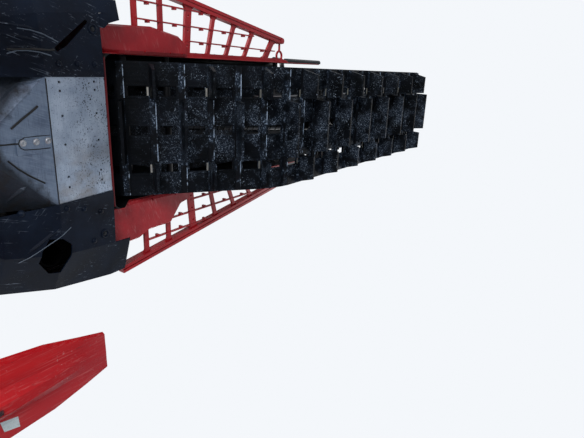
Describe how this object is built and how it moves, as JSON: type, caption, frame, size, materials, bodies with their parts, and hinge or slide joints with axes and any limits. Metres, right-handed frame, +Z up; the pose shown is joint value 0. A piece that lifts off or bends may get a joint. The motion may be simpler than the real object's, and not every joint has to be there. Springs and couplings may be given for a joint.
{
  "type": "snowmobile",
  "caption": "Mountain snowmobile with a long lugged track under a red tunnel, ladder running boards, a bare belly plate and two steerable skis.",
  "frame": {"origin": "on the ground under the middle of the outline", "axes": "+X to the rider's left, +Y to the tail, the nose faces -Y, +Z up"},
  "size_m": [1.112, 3.2722, 1.1785],
  "materials": {
    "red_paint": "satin",
    "red_plastic": "gloss",
    "black_paint": "satin",
    "black_plastic": "matte",
    "bare_aluminium": "satin",
    "cast_metal": "rough",
    "dark_steel": "satin",
    "rubber": "matte",
    "tyre": "matte",
    "seat_cover": "matte",
    "smoke_screen": "gloss",
    "lens": "gloss",
    "red_lens": "gloss"
  },
  "bodies": {
    "chassis": {"track": "tyre", "tunnel": "red_paint", "running_boards": "red_paint", "footwells": "red_plastic", "belly_plate": "bare_aluminium", "bulkhead": "bare_aluminium", "belly_pans": "black_plastic", "hood": "red_plastic", "console": "black_plastic", "side_panels": "red_plastic", "vent_inserts": "black_plastic", "nose_cover": "black_plastic", "headlights": "lens", "windshield": "smoke_screen", "gauge": "black_plastic", "fuel_tank": "black_plastic", "seat": "seat_cover", "engine": "cast_metal", "exhaust": "dark_steel", "bumpers": "black_paint", "tail_light": "red_lens", "snow_flap": "rubber", "slide_rails": "bare_aluminium", "skid_arms": "black_paint", "skid_shocks": "dark_steel", "idler_wheels": "black_plastic", "drive_shaft": "black_plastic", "ski_arms": "black_paint", "front_shocks": "dark_steel", "dash_panel": "black_plastic", "edge_guards": "black_plastic"},
    "steering": {"steering_post": "black_paint", "handlebar": "black_paint", "grips": "rubber", "hand_controls": "black_plastic"},
    "spindle_left": {"spindle_left": "bare_aluminium"},
    "spindle_right": {"spindle_right": "bare_aluminium"},
    "tie_rod_left": {"tie_rod_left": "dark_steel"},
    "tie_rod_right": {"tie_rod_right": "dark_steel"},
    "ski_left": {"ski_left": "red_plastic", "ski_runner_left": "dark_steel", "ski_loop_left": "black_paint"},
    "ski_right": {"ski_right": "red_plastic", "ski_runner_right": "dark_steel", "ski_loop_right": "black_paint"}
  },
  "joints": [
    {"name": "steering", "type": "hinge", "parent": "chassis", "child": "steering", "pos_m": [0, -0.65505, 0.33], "axis": [0, 0.4695, 0.8829], "range_deg": [-27, 27]},
    {"name": "spindle_left_turn", "type": "hinge", "parent": "chassis", "child": "spindle_left", "pos_m": [0.467, -0.96, 0.112], "axis": [0, 0.4695, 0.8829], "range_deg": [-27, 27]},
    {"name": "spindle_right_turn", "type": "hinge", "parent": "chassis", "child": "spindle_right", "pos_m": [-0.467, -0.96, 0.112], "axis": [0, 0.4695, 0.8829], "range_deg": [-27, 27]},
    {"name": "tie_rod_left_swing", "type": "hinge", "parent": "spindle_left", "child": "tie_rod_left", "pos_m": [0.467, -0.92797, 0.3746], "axis": [0, 0.4695, 0.8829], "range_deg": [-27, 27]},
    {"name": "tie_rod_right_swing", "type": "hinge", "parent": "spindle_right", "child": "tie_rod_right", "pos_m": [-0.467, -0.92797, 0.3746], "axis": [0, 0.4695, 0.8829], "range_deg": [-27, 27]},
    {"name": "ski_left_pitch", "type": "hinge", "parent": "spindle_left", "child": "ski_left", "pos_m": [0.467, -0.96, 0.112], "axis": [1, 0, 0], "range_deg": [-20, 25], "stiffness_Nm_per_rad": 120},
    {"name": "ski_right_pitch", "type": "hinge", "parent": "spindle_right", "child": "ski_right", "pos_m": [-0.467, -0.96, 0.112], "axis": [1, 0, 0], "range_deg": [-20, 25], "stiffness_Nm_per_rad": 120}
  ],
  "couplings": [
    {"joint": "spindle_left_turn", "follows": "steering", "ratio": 1},
    {"joint": "spindle_right_turn", "follows": "steering", "ratio": 1},
    {"joint": "tie_rod_left_swing", "follows": "steering", "ratio": -1},
    {"joint": "tie_rod_right_swing", "follows": "steering", "ratio": -1}
  ]
}
